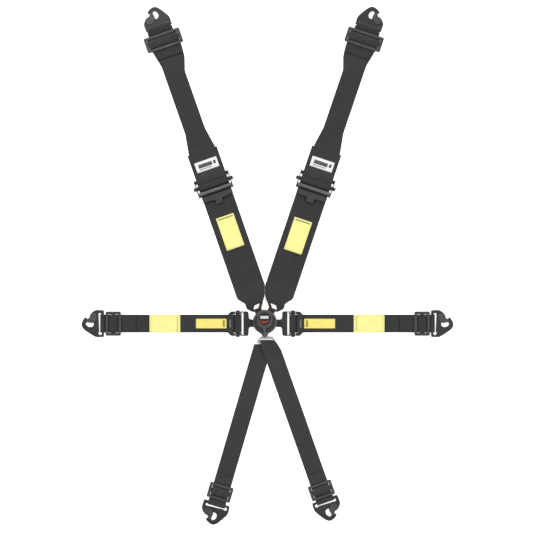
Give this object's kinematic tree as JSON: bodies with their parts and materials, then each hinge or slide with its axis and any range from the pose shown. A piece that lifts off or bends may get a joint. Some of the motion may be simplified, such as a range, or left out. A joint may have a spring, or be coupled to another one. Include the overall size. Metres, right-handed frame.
{
  "type": "racing harness",
  "caption": "Racing harness with a rotary cam buckle, adjustable lap and shoulder belts, a V-shaped pair of crotch belts and snap hooks at the belt ends.",
  "frame": {"origin": "centre of the cam buckle's back face, in the plane that the harness lies on", "axes": "+Z out of the dial, +Y towards the shoulder belts, +X towards the right lap belt as drawn from above"},
  "size_m": [0.9287, 1.2937, 0.031],
  "materials": {
    "webbing": "woven polyester, matte",
    "yellow_tape": "woven yellow tape, matte",
    "white_tape": "woven white label, satin",
    "black_steel": "satin black coating on steel",
    "keeper_steel": "satin black spring steel",
    "brown_steel": "satin red-brown coating on steel",
    "bright_steel": "bright zinc plated steel",
    "dial": "satin black cast handle",
    "dial_label": "printed disc"
  },
  "bodies": {
    "buckle": {"buckle_base_plate": "black_steel", "buckle_housing": "black_steel", "buckle_spindle": "bright_steel", "buckle_return_spring": "bright_steel", "left_lap_fixed_rivet": "bright_steel", "left_lap_tongue_frame": "black_steel", "left_lap_webbing": "webbing", "left_lap_label": "yellow_tape", "left_lap_pull_band": "yellow_tape", "left_lap_slide": "black_steel"},
    "dial": {"cam_dial": "dial", "cam_dial_label": "dial_label", "cam_lifting_ring": "bright_steel"},
    "right_lap_lock_pin": {"right_lap_lock_pin": "bright_steel"},
    "right_shoulder_lock_pin": {"right_shoulder_lock_pin": "bright_steel"},
    "left_shoulder_lock_pin": {"left_shoulder_lock_pin": "bright_steel"},
    "crotch_lock_pin": {"crotch_lock_pin": "bright_steel"},
    "right_lap_belt": {"right_lap_tongue_frame": "black_steel", "right_lap_webbing": "webbing", "right_lap_label": "yellow_tape", "right_lap_pull_band": "yellow_tape", "right_lap_slide": "black_steel"},
    "left_shoulder_belt": {"left_shoulder_tongue": "brown_steel", "left_shoulder_lower_webbing": "webbing", "left_shoulder_yellow_label": "yellow_tape", "left_shoulder_adjuster_frame": "bright_steel", "left_shoulder_upper_webbing": "webbing", "left_shoulder_white_label": "white_tape", "left_shoulder_slide": "black_steel"},
    "right_shoulder_belt": {"right_shoulder_tongue": "brown_steel", "right_shoulder_lower_webbing": "webbing", "right_shoulder_yellow_label": "yellow_tape", "right_shoulder_adjuster_frame": "bright_steel", "right_shoulder_upper_webbing": "webbing", "right_shoulder_white_label": "white_tape", "right_shoulder_slide": "black_steel"},
    "crotch_belts": {"crotch_tongue_ring": "bright_steel", "left_crotch_webbing": "webbing", "left_crotch_slide": "black_steel", "right_crotch_webbing": "webbing", "right_crotch_slide": "black_steel"},
    "left_lap_lock_bar": {"left_lap_lock_bar": "black_steel"},
    "left_lap_hook": {"left_lap_hook": "black_steel"},
    "left_lap_hook_keeper": {"left_lap_hook_keeper": "keeper_steel"},
    "right_lap_lock_bar": {"right_lap_lock_bar": "black_steel"},
    "right_lap_hook": {"right_lap_hook": "black_steel"},
    "right_lap_hook_keeper": {"right_lap_hook_keeper": "keeper_steel"},
    "left_shoulder_lock_bar": {"left_shoulder_lock_bar": "black_steel"},
    "left_shoulder_release_tab": {"left_shoulder_release_tab": "black_steel"},
    "left_shoulder_hook": {"left_shoulder_hook": "black_steel"},
    "left_shoulder_hook_keeper": {"left_shoulder_hook_keeper": "keeper_steel"},
    "right_shoulder_lock_bar": {"right_shoulder_lock_bar": "black_steel"},
    "right_shoulder_release_tab": {"right_shoulder_release_tab": "black_steel"},
    "right_shoulder_hook": {"right_shoulder_hook": "black_steel"},
    "right_shoulder_hook_keeper": {"right_shoulder_hook_keeper": "keeper_steel"},
    "left_crotch_hook": {"left_crotch_hook": "black_steel"},
    "left_crotch_hook_keeper": {"left_crotch_hook_keeper": "keeper_steel"},
    "right_crotch_hook": {"right_crotch_hook": "black_steel"},
    "right_crotch_hook_keeper": {"right_crotch_hook_keeper": "keeper_steel"}
  },
  "joints": [
    {"name": "dial_turn", "type": "hinge", "parent": "buckle", "child": "dial", "pos_m": [0, 0, 0.02], "axis": [0, 0, 1], "range_deg": [0, 45], "stiffness_Nm_per_rad": 0.15},
    {"name": "right_lap_pin_lift", "type": "slide", "parent": "buckle", "child": "right_lap_lock_pin", "axis": [0, 0, 1], "range_m": [0, 0.00502]},
    {"name": "right_lap_tongue_eject", "type": "slide", "parent": "buckle", "child": "right_lap_belt", "axis": [1, 0, 0], "range_m": [0, 0.00302]},
    {"name": "right_shoulder_pin_lift", "type": "slide", "parent": "buckle", "child": "right_shoulder_lock_pin", "axis": [0, 0, 1], "range_m": [0, 0.00502]},
    {"name": "right_shoulder_tongue_eject", "type": "slide", "parent": "buckle", "child": "right_shoulder_belt", "axis": [0.515, 0.8572, 0], "range_m": [0, 0.00302]},
    {"name": "left_shoulder_pin_lift", "type": "slide", "parent": "buckle", "child": "left_shoulder_lock_pin", "axis": [0, 0, 1], "range_m": [0, 0.00502]},
    {"name": "left_shoulder_tongue_eject", "type": "slide", "parent": "buckle", "child": "left_shoulder_belt", "axis": [-0.515, 0.8572, 0], "range_m": [0, 0.00302]},
    {"name": "crotch_pin_lift", "type": "slide", "parent": "buckle", "child": "crotch_lock_pin", "axis": [0, 0, 1], "range_m": [0, 0.00502]},
    {"name": "crotch_tongue_eject", "type": "slide", "parent": "buckle", "child": "crotch_belts", "axis": [0, -1, 0], "range_m": [0, 0.00302]},
    {"name": "left_lap_lock_bar_slide", "type": "slide", "parent": "buckle", "child": "left_lap_lock_bar", "axis": [1, 0, 0], "range_m": [0, 0.0025]},
    {"name": "left_lap_hook_fold", "type": "hinge", "parent": "buckle", "child": "left_lap_hook", "pos_m": [-0.405, -0.005, 0.0058], "axis": [0, 1, 0], "range_deg": [0, 90]},
    {"name": "left_lap_keeper_open", "type": "hinge", "parent": "left_lap_hook", "child": "left_lap_hook_keeper", "pos_m": [-0.42367, 0.012, 0.00744], "axis": [-0.0732, 0, 0.9973], "range_deg": [0, 25], "stiffness_Nm_per_rad": 0.02},
    {"name": "right_lap_lock_bar_slide", "type": "slide", "parent": "right_lap_belt", "child": "right_lap_lock_bar", "axis": [-1, 0, 0], "range_m": [0, 0.0025]},
    {"name": "right_lap_hook_fold", "type": "hinge", "parent": "right_lap_belt", "child": "right_lap_hook", "pos_m": [0.4185, -0.005, 0.0058], "axis": [0, -1, 0], "range_deg": [0, 90]},
    {"name": "right_lap_keeper_open", "type": "hinge", "parent": "right_lap_hook", "child": "right_lap_hook_keeper", "pos_m": [0.43717, 0.012, 0.00744], "axis": [-0.0732, 0, -0.9973], "range_deg": [0, 25], "stiffness_Nm_per_rad": 0.02},
    {"name": "left_shoulder_lock_bar_slide", "type": "slide", "parent": "left_shoulder_belt", "child": "left_shoulder_lock_bar", "axis": [-0.3289, 0.9444, 0], "range_m": [0, 0.0025]},
    {"name": "left_shoulder_tab_lift", "type": "hinge", "parent": "left_shoulder_belt", "child": "left_shoulder_release_tab", "pos_m": [-0.12028, 0.32099, 0.00735], "axis": [-0.9444, -0.3289, 0], "range_deg": [0, 60]},
    {"name": "left_shoulder_hook_fold", "type": "hinge", "parent": "left_shoulder_belt", "child": "left_shoulder_hook", "pos_m": [-0.26436, 0.73472, 0.0058], "axis": [0.9444, 0.3289, 0], "range_deg": [0, 90]},
    {"name": "left_shoulder_keeper_open", "type": "hinge", "parent": "left_shoulder_hook", "child": "left_shoulder_hook_keeper", "pos_m": [-0.28655, 0.74677, 0.00744], "axis": [0.0241, -0.0692, -0.9973], "range_deg": [0, 25], "stiffness_Nm_per_rad": 0.02},
    {"name": "right_shoulder_lock_bar_slide", "type": "slide", "parent": "right_shoulder_belt", "child": "right_shoulder_lock_bar", "axis": [0.319, 0.9478, 0], "range_m": [0, 0.0025]},
    {"name": "right_shoulder_tab_lift", "type": "hinge", "parent": "right_shoulder_belt", "child": "right_shoulder_release_tab", "pos_m": [0.11931, 0.32215, 0.00735], "axis": [-0.9478, 0.319, 0], "range_deg": [0, 60]},
    {"name": "right_shoulder_hook_fold", "type": "hinge", "parent": "right_shoulder_belt", "child": "right_shoulder_hook", "pos_m": [0.25825, 0.73499, 0.0058], "axis": [0.9478, -0.319, 0], "range_deg": [0, 90]},
    {"name": "right_shoulder_keeper_open", "type": "hinge", "parent": "right_shoulder_hook", "child": "right_shoulder_hook_keeper", "pos_m": [0.28032, 0.74727, 0.00744], "axis": [0.0234, 0.0694, 0.9973], "range_deg": [0, 25], "stiffness_Nm_per_rad": 0.02},
    {"name": "left_crotch_hook_fold", "type": "hinge", "parent": "crotch_belts", "child": "left_crotch_hook", "pos_m": [-0.12018, -0.45562, 0.0058], "axis": [-0.9598, 0.2807, 0], "range_deg": [0, 90]},
    {"name": "left_crotch_keeper_open", "type": "hinge", "parent": "left_crotch_hook", "child": "left_crotch_hook_keeper", "pos_m": [-0.14174, -0.46877, 0.00744], "axis": [-0.0206, -0.0703, 0.9973], "range_deg": [0, 25], "stiffness_Nm_per_rad": 0.02},
    {"name": "right_crotch_hook_fold", "type": "hinge", "parent": "crotch_belts", "child": "right_crotch_hook", "pos_m": [0.15043, -0.44652, 0.0058], "axis": [-0.9426, -0.3338, 0], "range_deg": [0, 90]},
    {"name": "right_crotch_keeper_open", "type": "hinge", "parent": "right_crotch_hook", "child": "right_crotch_hook_keeper", "pos_m": [0.17269, -0.45845, 0.00744], "axis": [-0.0244, 0.069, -0.9973], "range_deg": [0, 25], "stiffness_Nm_per_rad": 0.02}
  ],
  "couplings": [
    {"joint": "right_lap_pin_lift", "follows": "dial_turn", "m_per_rad": 0.0063662},
    {"joint": "right_lap_tongue_eject", "follows": "dial_turn", "m_per_rad": 0.0038197},
    {"joint": "right_shoulder_pin_lift", "follows": "dial_turn", "m_per_rad": 0.0063662},
    {"joint": "right_shoulder_tongue_eject", "follows": "dial_turn", "m_per_rad": 0.0038197},
    {"joint": "left_shoulder_pin_lift", "follows": "dial_turn", "m_per_rad": 0.0063662},
    {"joint": "left_shoulder_tongue_eject", "follows": "dial_turn", "m_per_rad": 0.0038197},
    {"joint": "crotch_pin_lift", "follows": "dial_turn", "m_per_rad": 0.0063662},
    {"joint": "crotch_tongue_eject", "follows": "dial_turn", "m_per_rad": 0.0038197}
  ]
}
